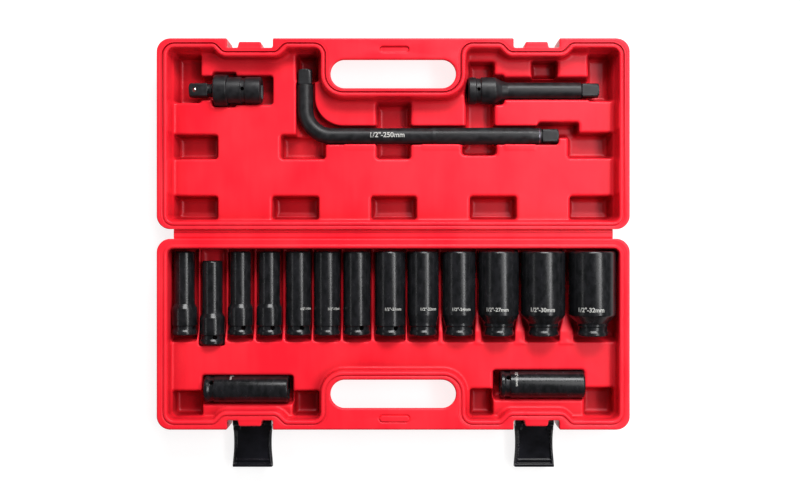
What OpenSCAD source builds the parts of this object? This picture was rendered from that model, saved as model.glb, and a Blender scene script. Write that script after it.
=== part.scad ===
// Impact socket set in a blow-moulded carry case, lying open on a table.
// X runs along the hinge, +Y points at the lid, Z is up. The origin is under the middle.

/* [Case] */
// Width of each half, along the hinge
case_w = 446; // [444:0.5:450]
// Depth of each half, from the hinge strip to the front
half_depth = 180; // [179:0.5:184]
// Height of each half, from the table to the rim
rim_z = 34; // [33:0.5:36]
// Height of the raised floor between the pockets
plateau_z = 20; // [18:0.5:20]
// Height of the pocket floors
floor_z = 3; // [2.8:0.1:3.2]
// Thickness of the plastic around the hollow of each half
skin = 2.2; // [1.8:0.1:2.4]
// Radius of the case's corners, seen from above
corner_r = 13; // [8:1:16]
// Width of the hinge strip between the halves
strip_w = 9; // [8:0.5:10]
// Length of the hinge strip
strip_len = 415; // [380:5:420]

/* [Handle and latches] */
// Half the length of the handle hole
handle_half = 58.5; // [50:0.5:60]
// Width of the handle hole
handle_w = 25.5; // [24:0.5:28]
// Distance of each latch from the middle of the case
latch_x = 135; // [132:1:138]
// Width of the recess that a latch lies in
notch_w = 43; // [42:0.5:45]
// Depth of that recess, from the front face
notch_depth = 9; // [8.5:0.5:9]
// Width of the tab in the middle of the recess
tab_w = 23; // [20:0.5:24]
// Length of a latch, from its pivot to its tip
latch_len = 43; // [42:0.5:44]
// How far a latch is turned out from closed
latch_open_deg = 90; // [85:0.5:106]

/* [Tools] */
// Length of every socket
socket_len = 80; // [78:0.5:81]
// Width of the square drive
drive_sq = 12.7; // [12.7:0.1:12.7]
// Overall length of the bent handle
handle_len = 250; // [246:1:251]
// Overall length of the extension bar
extension_len = 125; // [120:1:126]
// Diameter of the bent handle
bar_d = 15.4; // [14:0.2:16]

/* [Hidden] */
$fn = 64;
half_strip = strip_w/2;
front_y = half_strip + half_depth;
half_w = case_w/2;
give = 0.3;
rim_gap = 0.3;
hinge_z = rim_z - half_strip + rim_gap/2;
strip_t = 2;
hinge_gap = 0.2;
strip_drop = 0.1;
groove_w = 1.2;
groove_depth = 1.5;
groove_inset = 6;
cavity_inset = 10;
notch_y = front_y - notch_depth;
tab_recess = 3.5;
tab_y = front_y - tab_recess;
base_tab_low = 5;
hook_t = 3;
hook_reach = 2.6;
pivot_z = 16;
pivot_y = front_y - 4.5;
peg_r = 2;
peg_gap = 0.06;
peg_len = 3;
closed_top = 2*rim_z + rim_gap;
hook_z = pivot_z + latch_len - hook_t;
lid_tab_low = closed_top - hook_z + give;
handle_y = front_y - 21 - handle_w/2;
vent_r = 1.5;
plate_in = front_y - pivot_y - tab_recess + give;
plate_out = front_y - pivot_y;
// The open latches reach past the front, so the whole set moves back to keep the origin in its middle
latch_tip_y = pivot_y + latch_len*sin(latch_open_deg) + (plate_in - hook_reach)*cos(latch_open_deg);
shift_y = (latch_tip_y - front_y)/2;

// Every socket of the row: size, place along X, body and drive-end diameters, shift in Y
ROW = [
    [10, -200.3, 19.3, 24.2, 0],
    [11, -173.6, 19.5, 24.2, -9],
    [12, -146.6, 20.0, 24.0, 0],
    [13, -118.9, 20.6, 24.2, 0],
    [14, -91.0, 24.2, 24.2, 0],
    [15, -63.5, 25.2, 25.2, 0],
    [16, -34.8, 26.0, 26.0, 0],
    [21, -3.1, 29.0, 29.0, 0],
    [22, 28.5, 29.6, 27.0, 0],
    [24, 62.6, 32.0, 28.0, 0],
    [27, 100.2, 38.4, 29.0, 0],
    [30, 142.3, 41.8, 30.0, 0],
    [32, 188.6, 44.4, 30.0, 0],
];
// The two sockets that lie across the front: size, centre, body and drive-end diameters
FRONT = [
    [17, [-140, -148.3], 25.8, 25.8],
    [18, [142, -143.8], 26.2, 26.2],
];
row_mouth_y = -16.5;
slot_y = [-13.9, -107];
drive_end_len = 30;
taper_len = 8;
tool_y = 137.3;

// Pockets in the floor of the base in front of the row: low x, low y, high x, high y
BASE_POCKETS = [
    [-212.9, -176, -182, -149.5],
    [-183, -163, -95.5, -134.5],
    [-96, -176, -70, -149.5],
    [73, -175, 95.5, -147.5],
    [95, -158.5, 182.5, -129.5],
    [182, -175, 212.9, -146.5],
];
// Pockets in the floor of the lid
LID_POCKETS = [
    [-212.9, 13.5, -167.5, 36.5], [-116, 13.5, -71, 36.5], [-21.5, 13.5, 22.5, 36.5],
    [73, 13.5, 118, 36.5], [168.5, 13.5, 212.9, 36.5],
    [-212.9, 71.5, -167.5, 95], [-108, 71.5, -64.5, 95],
    [-16.5, 71.5, 17, 128], [65.5, 75.5, 99, 85.5], [69, 75.5, 93.5, 165],
    [167, 72.5, 212.9, 97], [155, 86, 177.5, 106],
    [-212.9, 125.5, -183.5, 178], [-186, 128.5, -168, 151], [-173, 121.5, -150, 155],
    [-151, 123.5, -115, 151.5],
    [-93, 145.5, -69, 173],
    [69, 123.5, 106, 152.5], [105, 128.4, 188, 150], [134.5, 149, 153, 164],
    [186, 127, 212.9, 176],
];

// The bent handle: its two centrelines, bend and height
arm_x = -84.5;
arm_y = 94;
arm_tip_y = 157.5;
bend_r = 25.7;
bar_floor = 7;
grip_d = 16.2;
bar_z = bar_floor + give + grip_d/2;
bar_end_x = arm_x - bar_d/2 + handle_len;
grip = [39, 131];

// The universal joint: centre, diameters and ends
joint_x = -166;
joint_z = 18.4;
joint_mouth = -170.6;
joint_right = -125.6;
joint_left = -194.5;
joint_d = 25.6;
sleeve_d = 30;
cup_r = 10;
fork_r = 9.4;
block_w = 9;
pin_r = 2;
ball_r = 2.25;
ball_x = -188.5;
ball_proud = 1.1;
ball_hole_low = -3;
spring_r = 1.6;
spring_wire_r = 0.3;

// The extension bar
ext_x = 71.2;
ext_z = 16.4;
ext_d = 25.6;
ext_shaft_d = 15.8;

case_red = [0.86, 0.05, 0.08];
tool_black = [0.1, 0.1, 0.11];

// ---- Outlines ----

function unit(v) = v/norm(v);
function left_of(a, b) = let (u = unit(b - a)) [-u[1], u[0]];
// Moves each edge of an anticlockwise outline inwards by e; a corner is [x, y, radius]
function xy(c) = [c[0], c[1]];
function moved(c, e) = [for (i = [0:len(c) - 1])
    let (p = xy(c[(i + len(c) - 1) % len(c)]), q = xy(c[i]), s = xy(c[(i + 1) % len(c)]),
         n1 = left_of(p, q), n2 = left_of(q, s), turn = cross(q - p, s - q),
         place = q + e*(n1 + n2)/(1 + n1*n2))
    [place[0], place[1], turn > 0 ? max(c[i][2] - e, 0.5) : c[i][2] + e]];
// Rounds each corner with an arc of its radius
function rounded(c, steps = 6) = [for (i = [0:len(c) - 1])
    let (p = xy(c[(i + len(c) - 1) % len(c)]), q = xy(c[i]), s = xy(c[(i + 1) % len(c)]), r = c[i][2],
         u1 = unit(q - p), u2 = unit(s - q), side = sign(cross(u1, u2)),
         turn = acos(u1*u2), reach = r*tan(turn/2), n = side*[-u1[1], u1[0]])
    for (k = [0:steps])
        let (a = turn*k/steps) q - u1*reach + r*sin(a)*u1 + r*(1 - cos(a))*n];
function box_corners(low, high, r) = [
    [low[0], low[1], r], [high[0], low[1], r], [high[0], high[1], r], [low[0], high[1], r]];

// The lid's outer outline, and the line of the rim's groove, which the base mirrors
OUTER = box_corners([-half_w, half_strip], [half_w, front_y], corner_r);
groove_x = half_w - groove_inset;
groove_y = front_y - 5;
bump_y = front_y - notch_depth - 5.5;
bump = [latch_x - 33, latch_x - 25, latch_x + 25, latch_x + 33];
grip_x = handle_half + 5.5;
grip_y = handle_y - handle_w/2 - 4.5;
GROOVE = [
    [-groove_x, half_strip + 5, 10], [groove_x, half_strip + 5, 10], [groove_x, groove_y, 11],
    [bump[3], groove_y, 7], [bump[2], bump_y, 7], [bump[1], bump_y, 7], [bump[0], groove_y, 7],
    [grip_x, groove_y, 11], [grip_x, grip_y, 17], [-grip_x, grip_y, 17], [-grip_x, groove_y, 11],
    [-bump[0], groove_y, 7], [-bump[1], bump_y, 7], [-bump[2], bump_y, 7], [-bump[3], groove_y, 7],
    [-groove_x, groove_y, 11],
];
CAVITY = moved(GROOVE, cavity_inset - groove_inset);

module prism(corners, low, high) {
    translate([0, 0, low]) linear_extrude(high - low) polygon(rounded(corners));
}
module slab(low, high) {
    translate(low) cube(high - low);
}
// Mirrors its children onto both sides of the case
module both_sides() {
    children();
    mirror([1, 0, 0]) children();
}

// ---- Case halves, both drawn on the lid's side ----

// The through hole of the handle, grown by e
module handle_hole(low, high, e) {
    r = handle_w/2 + e;
    for (x = [-1, 1]) translate([x*(handle_half - handle_w/2), handle_y, low]) cylinder(h = high - low, r = r);
    slab([-handle_half + handle_w/2, handle_y - r, low], [handle_half - handle_w/2, handle_y + r, high]);
}
// The recess of one latch, grown by e into the case
module latch_notch(low, high, e) {
    slab([latch_x - notch_w/2 - e, notch_y - e, low], [latch_x + notch_w/2 + e, front_y + 1, high]);
}
// What is cut out of a half around its pockets; e grows it to leave the skin
module common_cuts(e) {
    prism(moved(CAVITY, -e), plateau_z - e, rim_z + 1);
    handle_hole(-1, rim_z + 1, e);
    both_sides() latch_notch(-1, rim_z + 1, e);
}
module pocket(p, low, e) {
    slab([p[0] - e, p[1] - e, low - e], [p[2] + e, p[3] + e, rim_z]);
}
module groove_line() {
    difference() {
        prism(moved(GROOVE, -groove_w/2), rim_z - groove_depth, rim_z + 1);
        prism(moved(GROOVE, groove_w/2), rim_z - groove_depth - 1, rim_z + 2);
    }
}
module latch_tab(low) {
    slab([latch_x - tab_w/2, notch_y - 0.5, low], [latch_x + tab_w/2, tab_y, rim_z]);
}
// The hollow between the two skins of a half; the children are its own pockets, grown by the skin
module hollow() {
    difference() {
        prism(moved(OUTER, skin), skin, rim_z - skin);
        common_cuts(skin);
        children();
    }
}
// The hole that the blowing needle leaves in the back wall
module vent_hole(x) {
    translate([x, half_strip - 1, rim_z/2]) rotate([-90, 0, 0]) cylinder(h = skin + 2, r = vent_r);
}

// ---- Base ----

function socket_z(d) = floor_z + 0.2 + d/2;
function row_r(i) = max(ROW[i][2], ROW[i][3])/2;
// The wall between two neighbours of the row is centred in their gap
function wall_x(i) = (ROW[i][1] + row_r(i) + ROW[i + 1][1] - row_r(i + 1))/2;
function wall_t(i) = min(4, ROW[i + 1][1] - ROW[i][1] - row_r(i + 1) - row_r(i) - 2*give);
function slot_low(i) = i == 0 ? BASE_POCKETS[0][0] : wall_x(i - 1) + wall_t(i - 1)/2;
function slot_high(i) = i == len(ROW) - 1 ? -BASE_POCKETS[0][0] : wall_x(i) - wall_t(i)/2;

module base_pockets(e) {
    for (i = [0:len(ROW) - 1]) pocket([slot_low(i), slot_y[1], slot_high(i), slot_y[0]], floor_z, e);
    for (p = BASE_POCKETS) pocket(p, floor_z, e);
}
module peg_holes() {
    for (x = [-1, 1]) translate([latch_x + x*(tab_w/2 - peg_len/2 - 0.1), pivot_y, pivot_z])
        rotate([0, 90, 0]) cylinder(h = peg_len + 0.2, r = peg_r + peg_gap, center = true);
}
module base_shell() {
    color(case_red) difference() {
        union() {
            mirror([0, 1, 0]) difference() {
                prism(OUTER, 0, rim_z);
                common_cuts(0);
                groove_line();
            }
            mirror([0, 1, 0]) both_sides() latch_tab(base_tab_low);
        }
        base_pockets(0);
        mirror([0, 1, 0]) {
            both_sides() peg_holes();
            hollow() mirror([0, 1, 0]) base_pockets(skin);
            vent_hole(60);
        }
    }
}

// ---- Lid ----

// The channel of the bent handle, with the round inside of its bend
module bar_channel(low, e) {
    pocket([-93, 85.5, arm_x + bend_r, 120], low, e);
    pocket([arm_x + bend_r - 1, 85.5, 158, 103.5], low, e);
    pocket([-93, 100, -75, 146], low, e);
}
module bend_core(high, e) {
    difference() {
        slab([-75 + e, 103.5 + e, 0], [arm_x + bend_r + 1, 121, high]);
        translate([-75, 103.5, -1]) cylinder(h = high + 2, r = 9 + e);
    }
}
module lid_pockets(e) {
    for (p = LID_POCKETS) pocket(p, floor_z, e);
    difference() {
        bar_channel(bar_floor, e);
        bend_core(plateau_z, e);
    }
}
module lid_shell() {
    color(case_red) difference() {
        union() {
            difference() {
                prism(OUTER, 0, rim_z);
                common_cuts(0);
                groove_line();
            }
            both_sides() latch_tab(lid_tab_low);
        }
        lid_pockets(0);
        hollow() lid_pockets(skin);
        vent_hole(-60);
    }
}

// ---- Hinge strip ----

module hinge_strip() {
    color(case_red) translate([0, 0, hinge_z - strip_drop])
        slab([-strip_len/2, -half_strip + hinge_gap, -strip_t], [strip_len/2, half_strip - hinge_gap, 0]);
}

// ---- Latches, drawn closed and turned down about their pivots ----

ear_x = [tab_w/2 + 0.5, 18.5];
module latch_plate() {
    difference() {
        translate([0, 0, 2.5]) slab([-19.5, plate_in, 0], [19.5, plate_out, latch_len - 2.5]);
        for (x = [-1, 1]) translate([x*148, plate_in - 1, 20]) rotate([-90, 0, 0])
            cylinder(h = plate_out - plate_in + 2, r = 130, $fn = 160);
    }
}
module latch_shape() {
    latch_plate();
    slab([-19, plate_in - hook_reach, latch_len - hook_t], [19, plate_out, latch_len]);
    for (x = [-1, 1]) mirror([x < 0 ? 1 : 0, 0, 0]) {
        slab([16.5, plate_in - 1.5, 2], [17.9, plate_in, latch_len]);
        translate([ear_x[0], 0, 0]) rotate([0, 90, 0]) cylinder(h = ear_x[1] - ear_x[0], r = 3.8);
        slab([ear_x[0], 0, 0], [ear_x[1], plate_out, 8]);
        translate([tab_w/2 - peg_len + 0.3, 0, 0]) rotate([0, 90, 0])
            cylinder(h = ear_x[0] - tab_w/2 + peg_len, r = peg_r);
    }
}
module latch(x) {
    color(tool_black) translate([x, -pivot_y, pivot_z]) rotate([latch_open_deg, 0, 0])
        mirror([0, 1, 0]) latch_shape();
}

// ---- Sockets, with the axis along X and the drive end at zero ----

hex_depth = 24;
square_depth = 16;
groove_at = [5.5, 9.5];
retain_hole_r = 1.7;
module socket_body(body_d, drive_d) {
    b = body_d/2;
    d = drive_d/2;
    neck = drive_d > body_d ? drive_end_len : 2*drive_end_len/3;
    rotate([0, 90, 0]) rotate_extrude() polygon([
        [0, 0], [d - 1.2, 0], [d, 1.2], [d, groove_at[0] - 0.6], [d - 1, groove_at[0]],
        [d - 1, groove_at[1] - 0.4], [d, groove_at[1]], [d, neck - (d > b ? 2.5 : taper_len)],
        [b, neck], [b, socket_len - 1], [b - 1, socket_len], [0, socket_len],
    ]);
}
module across_flats(af, h) {
    cylinder(h = h, r = af/2/cos(30), $fn = 6);
}
module socket(size, body_d, drive_d) {
    bore_r = min(size/2 + 0.3, drive_d/2 - 3);
    difference() {
        socket_body(body_d, drive_d);
        translate([socket_len - hex_depth, 0, 0]) rotate([0, 90, 0]) across_flats(size + 0.2, hex_depth + 1);
        translate([square_depth, 0, 0]) rotate([0, 90, 0])
            cylinder(h = socket_len - hex_depth - square_depth + 0.5, r = min(bore_r, size/2 - 0.4));
        drive_hole(square_depth + 0.5);
        translate([(groove_at[0] + groove_at[1])/2, 0, 0]) cylinder(h = drive_d, r = retain_hole_r, center = true);
    }
}
// The square hole of a female drive, from x = 0
module drive_hole(depth) {
    half = drive_sq/2 + 0.15;
    slab([-1, -half, -half], [depth, half, half]);
}
module row_socket(i) {
    s = ROW[i];
    color(tool_black) translate([s[1], row_mouth_y - socket_len + s[4], socket_z(max(s[2], s[3]))])
        rotate([0, 0, 90]) socket(s[0], s[2], s[3]);
}
module front_socket(i) {
    s = FRONT[i];
    color(tool_black) translate([s[1][0] - socket_len/2, s[1][1], socket_z(max(s[2], s[3]))])
        socket(s[0], s[2], s[3]);
}
// A male square drive along X, with its corners turned off
module male_drive(length) {
    intersection() {
        slab([0, -drive_sq/2, -drive_sq/2], [length, drive_sq/2, drive_sq/2]);
        rotate([0, 90, 0]) rotate_extrude() polygon([
            [0, 0], [8.3, 0], [8.3, length - 2], [6.8, length], [0, length],
        ]);
    }
}

// ---- Extension bar ----

module extension_bar() {
    r = ext_d/2;
    s = ext_shaft_d/2;
    shaft_end = extension_len - 16;
    color(tool_black) translate([ext_x, tool_y, ext_z]) {
        difference() {
            rotate([0, 90, 0]) rotate_extrude() polygon([
                [0, 0], [r - 1.2, 0], [r, 1.2], [r, 7.4], [r - 1, 8], [r - 1, 12], [r, 12.6], [r, 26],
                [s + 0.8, 33], [s, 38], [s, shaft_end - 1], [s - 1, shaft_end], [0, shaft_end],
            ]);
            drive_hole(16.5);
            translate([10, 0, 0]) cylinder(h = ext_d, r = retain_hole_r, center = true);
        }
        translate([shaft_end - 1, 0, 0]) male_drive(17);
    }
}

// ---- Bent handle ----

module l_handle() {
    r = bar_d/2;
    bend_x = arm_x + bend_r;
    bend_y = arm_y + bend_r;
    sq_len = 15;
    color(tool_black) translate([0, 0, bar_z]) {
        translate([bend_x, bend_y, 0]) rotate([0, 0, 180]) rotate_extrude(angle = 90)
            translate([bend_r, 0]) circle(r);
        translate([bend_x, arm_y, 0]) rotate([0, 90, 0]) cylinder(h = bar_end_x - sq_len - bend_x, r = r);
        translate([grip[0], arm_y, 0]) rotate([0, 90, 0]) rotate_extrude() polygon([
            [0, 0], [r, 0], [grip_d/2, 6], [grip_d/2, grip[1] - grip[0] - 6], [r, grip[1] - grip[0]],
            [0, grip[1] - grip[0]],
        ]);
        translate([bar_end_x - sq_len - 0.5, arm_y, 0]) male_drive(sq_len + 0.5);
        translate([arm_x, bend_y, 0]) rotate([-90, 0, 0]) cylinder(h = arm_tip_y - 14 - bend_y, r = r);
        translate([arm_x, arm_tip_y - 14.5, 0]) rotate([0, 0, 90]) male_drive(14.5);
    }
}

// ---- Universal joint, all pieces drawn along X with the fork's centre at zero ----

module at_joint() {
    translate([joint_x, tool_y, joint_z]) children();
}
mouth = joint_mouth - joint_x;
module joint_housing() {
    right = joint_right - joint_x;
    r = joint_d/2;
    color(tool_black) at_joint() difference() {
        rotate([0, 90, 0]) rotate_extrude() polygon([
            [0, mouth], [r, mouth], [r, right - 19.5], [r - 1, right - 19], [r - 1, right - 15.5],
            [r, right - 15], [r, right - 1], [r - 1, right], [0, right],
        ]);
        rotate([0, 90, 0]) cylinder(h = 2*abs(mouth) + 2, r = cup_r, center = true);
        sphere(cup_r);
        translate([right, 0, 0]) mirror([1, 0, 0]) drive_hole(18);
        translate([right - 17.2, 0, 0]) cylinder(h = joint_d, r = retain_hole_r, center = true);
        cylinder(h = 2*joint_d, r = pin_r, center = true);
    }
}
module joint_sleeve() {
    color(tool_black) at_joint() rotate([0, 90, 0]) difference() {
        translate([0, 0, mouth]) cylinder(h = 13, r = sleeve_d/2);
        translate([0, 0, mouth - 1]) cylinder(h = 15, r = joint_d/2);
    }
}
module joint_block() {
    color("dimgray") at_joint() difference() {
        cube(block_w, center = true);
        cylinder(h = block_w + 2, r = pin_r + 0.05, center = true);
        rotate([90, 0, 0]) cylinder(h = block_w + 2, r = pin_r + 0.05, center = true);
    }
}
// The long pin goes through the housing and the block
module joint_long_pin() {
    color("silver") at_joint() cylinder(h = joint_d - 0.4, r = pin_r, center = true);
}
// Two short pins join the fork to the block
module joint_short_pins() {
    color("silver") at_joint() for (y = [-1, 1]) translate([0, y*(pin_r + 0.3 + fork_r - 1)/2, 0])
        rotate([90, 0, 0]) cylinder(h = fork_r - 1.3 - pin_r, r = pin_r, center = true);
}
module joint_drive() {
    left = joint_left - joint_x;
    neck_r = 5.9;
    neck_end = 11;
    color(tool_black) at_joint() difference() {
        union() {
            intersection() {
                sphere(fork_r);
                slab([-fork_r, -fork_r, -6.5], [5, fork_r, 6.5]);
            }
            translate([-neck_end - 1, 0, 0]) rotate([0, 90, 0]) cylinder(h = neck_end - 5.7, r = neck_r);
            translate([-neck_end, 0, 0]) mirror([1, 0, 0]) male_drive(-left - neck_end);
        }
        slab([-block_w/2 - 2.2, -block_w/2 - 0.15, -fork_r], [fork_r, block_w/2 + 0.15, fork_r]);
        rotate([90, 0, 0]) cylinder(h = 3*fork_r, r = pin_r, center = true);
        translate([ball_x - joint_x, 0, ball_hole_low]) cylinder(h = drive_sq, r = ball_r + 0.05);
    }
}
module detent_ball() {
    color("silver") at_joint() translate([ball_x - joint_x, 0, drive_sq/2 + ball_proud - ball_r]) sphere(ball_r);
}
// The spring under the ball, one closed tube swept along a helix
module detent_spring() {
    turns = 4;
    steps = 18;
    sides = 6;
    low = ball_hole_low + spring_wire_r;
    high = drive_sq/2 + ball_proud - 2*ball_r - spring_wire_r - 0.05;
    rings = [for (k = [0:turns*steps])
        let (a = 360*k/steps, z = low + (high - low)*k/(turns*steps))
        [for (j = [0:sides - 1]) let (b = 360*j/sides, r = spring_r + spring_wire_r*cos(b))
            [r*cos(a), r*sin(a), z + spring_wire_r*sin(b)]]];
    last = turns*steps;
    color("silver") at_joint() translate([ball_x - joint_x, 0, 0]) polyhedron(
        points = [for (ring = rings) each ring],
        faces = concat(
            [[for (j = [0:sides - 1]) j]],
            [[for (j = [sides - 1:-1:0]) last*sides + j]],
            [for (k = [0:last - 1], j = [0:sides - 1])
                [k*sides + j, (k + 1)*sides + j, (k + 1)*sides + (j + 1) % sides, k*sides + (j + 1) % sides]]));
}

module placed() {
    translate([0, shift_y, 0]) children();
}
placed() base_shell();
placed() lid_shell();
placed() hinge_strip();
placed() latch(-latch_x);  // latch_left
placed() latch(latch_x);  // latch_right
for (i = [0:len(ROW) - 1])
    placed() row_socket(i);
for (i = [0:len(FRONT) - 1])
    placed() front_socket(i);
placed() extension_bar();
placed() l_handle();
placed() joint_housing();
placed() joint_sleeve();
placed() joint_block();
placed() joint_long_pin();
placed() joint_short_pins();
placed() joint_drive();
placed() detent_ball();
placed() detent_spring();
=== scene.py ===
# Looks of the impact socket set in its carry case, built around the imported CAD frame.
import math
from functools import reduce
from itertools import product

import bmesh
import bpy
import numpy as np
from mathutils import Matrix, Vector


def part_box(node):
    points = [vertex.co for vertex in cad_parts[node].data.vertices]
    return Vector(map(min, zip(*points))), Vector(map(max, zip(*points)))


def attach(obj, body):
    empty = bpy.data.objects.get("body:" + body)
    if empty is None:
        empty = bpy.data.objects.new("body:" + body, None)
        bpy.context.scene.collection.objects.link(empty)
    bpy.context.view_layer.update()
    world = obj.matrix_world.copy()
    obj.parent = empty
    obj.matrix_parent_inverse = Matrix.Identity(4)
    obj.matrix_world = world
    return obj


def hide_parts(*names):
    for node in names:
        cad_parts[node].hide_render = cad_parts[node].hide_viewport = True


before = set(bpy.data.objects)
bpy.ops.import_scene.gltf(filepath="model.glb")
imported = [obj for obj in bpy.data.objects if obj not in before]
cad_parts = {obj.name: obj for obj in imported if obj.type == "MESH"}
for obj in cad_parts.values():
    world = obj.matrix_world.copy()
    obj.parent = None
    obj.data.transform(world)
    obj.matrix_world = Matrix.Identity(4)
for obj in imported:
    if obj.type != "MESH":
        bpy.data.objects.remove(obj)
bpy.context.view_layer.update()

# ---- Frame ----
# Everything is modelled in millimetres around the hinge line, as in the CAD part, and moved by place()

MM = 0.001
STRIP_LOW, STRIP_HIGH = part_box("hinge_strip")
HINGE_Y = (STRIP_LOW.y + STRIP_HIGH.y)/2


def place(points):
    """Points in millimetres around the hinge, as points of the row frame in metres."""
    return np.asarray(points, float)*MM + np.array([0, HINGE_Y, 0])


def node_box(node):
    """Low and high corner of a CAD node, in millimetres around the hinge."""
    shift = np.array([0, HINGE_Y, 0])
    return tuple((np.array(corner) - shift)/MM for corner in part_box(node))


# ---- Materials ----

class Look:
    """A material's node tree, with short calls for its nodes."""

    def __init__(self, name, color, roughness, metallic=0.0, specular=0.5):
        self.material = bpy.data.materials.new(name)
        self.material.use_nodes = True
        self.nodes = self.material.node_tree.nodes
        self.links = self.material.node_tree.links
        self.shader = self.nodes["Principled BSDF"]
        self.set({"Base Color": (*color, 1), "Roughness": roughness, "Metallic": metallic,
                  "Specular IOR Level": specular})
        self.coordinates = self.nodes.new("ShaderNodeTexCoord").outputs["Object"]

    def fill(self, node, values):
        """Sets a node's inputs, or links those that are given another node's output."""
        for key, value in values.items():
            if isinstance(value, bpy.types.NodeSocket):
                self.links.new(value, node.inputs[key])
            else:
                node.inputs[key].default_value = value

    def set(self, values):
        self.fill(self.shader, values)

    def make(self, kind, values, **settings):
        """A new node with its settings and inputs."""
        node = self.nodes.new(kind)
        for key, value in settings.items():
            setattr(node, key, value)
        self.fill(node, values)
        return node

    def noise(self, size, detail, stretch=(1, 1, 1), turn=0):
        """Noise whose blobs are about size millimetres, stretched along the axes."""
        scale = [1/(s*size*MM) for s in stretch]
        mapping = self.make("ShaderNodeMapping", {"Vector": self.coordinates, "Scale": scale,
                                                  "Rotation": (0, 0, turn)})
        values = {"Vector": mapping.outputs["Vector"], "Scale": 1, "Detail": detail}
        return self.make("ShaderNodeTexNoise", values).outputs["Fac"]

    def spread(self, value, low, high, start=0.3, end=0.7):
        """A value between start and end, mapped to between low and high."""
        ends = {"Value": value, "From Min": start, "From Max": end, "To Min": low, "To Max": high}
        return self.make("ShaderNodeMapRange", ends).outputs["Result"]

    def colors(self, value, first, second, start=0.3, end=0.7):
        """A colour ramp over a value, from the first colour at start to the second at end."""
        ramp = self.make("ShaderNodeValToRGB", {"Fac": value})
        for i, (color, position) in enumerate(((first, start), (second, end))):
            ramp.color_ramp.elements[i].position = position
            ramp.color_ramp.elements[i].color = (*color, 1)
        return ramp.outputs["Color"]

    def mix(self, factor, first, second, blend="MIX"):
        """Two colours mixed by a factor."""
        values = {"Factor": factor, 6: first, 7: second}
        return self.make("ShaderNodeMix", values, data_type="RGBA", blend_type=blend).outputs[2]

    def painted_shade(self, color, reach, depth):
        """Painted shade: a colour taken towards its deep tone where the piece is hollow within reach
        millimetres, standing in for the shade that falls in recesses.
        """
        node = self.make("ShaderNodeAmbientOcclusion", {"Distance": reach*MM}, only_local=True, samples=8)
        open_sky = self.spread(node.outputs["AO"], 0, 1, start=0.24, end=0.95)
        shaded_color = self.mix(1, color, (depth, depth**3, depth**2, 1), "MULTIPLY")
        return self.mix(open_sky, shaded_color, color)

    def sum(self, first, second, weight):
        """first + weight*second."""
        values = {0: second, 1: weight, 2: first}
        return self.make("ShaderNodeMath", values, operation="MULTIPLY_ADD").outputs[0]

    def bump(self, height, depth):
        """Bump with depth in millimetres between the noise's extremes."""
        node = self.make("ShaderNodeBump", {"Height": height, "Distance": depth*MM})
        self.set({"Normal": node.outputs["Normal"]})


def red_plastic():
    """Blow-moulded polyethylene: flow streaks, a waxy sheen and a fine orange peel, with painted shade in
    its pockets, grooves and creases.
    """
    look = Look("red_plastic", (0.86, 0.012, 0.028), 0.36, specular=0.4)
    look.set({"Specular Tint": (1, 0.42, 0.48, 1)})
    clouds = look.noise(38, 2, (1, 1.6, 1))
    streaks = look.noise(4.5, 3, (1, 9, 1), 0.35)
    tone = look.sum(clouds, streaks, 0.3)
    tone = look.colors(tone, (0.80, 0.012, 0.026), (0.88, 0.022, 0.036), start=0.45, end=0.85)
    # Painted shade: the colour darkens in the pockets, within 26 mm, and along the grooves and creases,
    # within 2.2 mm, where shade falls.
    tone = look.painted_shade(tone, 26, 0.19)
    look.set({"Base Color": look.painted_shade(tone, 2.2, 0.5)})
    look.set({"Roughness": look.spread(clouds, 0.30, 0.42)})
    look.bump(look.sum(look.noise(0.9, 2), look.noise(9, 2), 3.0), 0.035)
    return look.material


def phosphate(look, patches, dark, pale, low, high):
    """Colour and roughness of a black phosphate that is paler in patches. Returns its fine grain."""
    grain = look.noise(0.3, 3)
    look.set({"Base Color": look.colors(look.sum(patches, grain, 0.25), dark, pale, start=0.45, end=0.8)})
    look.set({"Roughness": look.spread(patches, low, high)})
    return grain


def black_steel():
    """Black phosphate with a film of oil and paler rubbed patches, on the sockets."""
    look = Look("black_steel", (0.008, 0.008, 0.009), 0.34, specular=0.3)
    patches = look.noise(5, 5, (1, 2, 1))
    grain = phosphate(look, patches, (0.004, 0.0045, 0.005), (0.012, 0.012, 0.014), 0.21, 0.28)
    look.bump(look.sum(grain, look.noise(14, 2), 1.5), 0.0025)
    return look.material


def matte_steel():
    """Black phosphate, dry and dull, on the long tools."""
    look = Look("matte_steel", (0.010, 0.010, 0.011), 0.4, specular=0.28)
    grain = phosphate(look, look.noise(6, 4), (0.006, 0.006, 0.007), (0.016, 0.016, 0.018), 0.36, 0.46)
    look.bump(grain, 0.008)
    return look.material


def glossy_steel():
    """Black finish burnished smooth, with faint lines around the bar."""
    look = Look("glossy_steel", (0.2, 0.19, 0.22), 0.3, metallic=0.9)
    lines = look.noise(0.2, 3, (1, 8, 8))
    look.set({"Base Color": look.colors(lines, (0.14, 0.13, 0.16), (0.22, 0.21, 0.25))})
    look.set({"Roughness": look.spread(lines, 0.26, 0.36)})
    look.bump(lines, 0.006)
    return look.material


def black_plastic():
    """Glossy moulded plastic, with a faint bluish bloom."""
    look = Look("black_plastic", (0.012, 0.012, 0.014), 0.26, specular=0.3)
    bloom = look.noise(11, 3, (1.4, 1, 1))
    look.set({"Base Color": look.colors(bloom, (0.003, 0.003, 0.004), (0.008, 0.008, 0.011))})
    look.set({"Roughness": look.spread(bloom, 0.12, 0.2)})
    look.bump(look.noise(0.7, 2), 0.012)
    return look.material


def bare_steel(name, color, roughness, scratch):
    """Bare metal with fine grinding scratches along X."""
    look = Look(name, color, roughness, metallic=1.0)
    lines = look.noise(0.12, 3, (14, 1, 1))
    darker = tuple(0.8*c for c in color)
    look.set({"Base Color": look.colors(look.noise(3, 3), darker, color)})
    look.set({"Roughness": look.spread(lines, roughness - 0.05, roughness + 0.1)})
    look.bump(lines, scratch)
    return look.material


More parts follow.
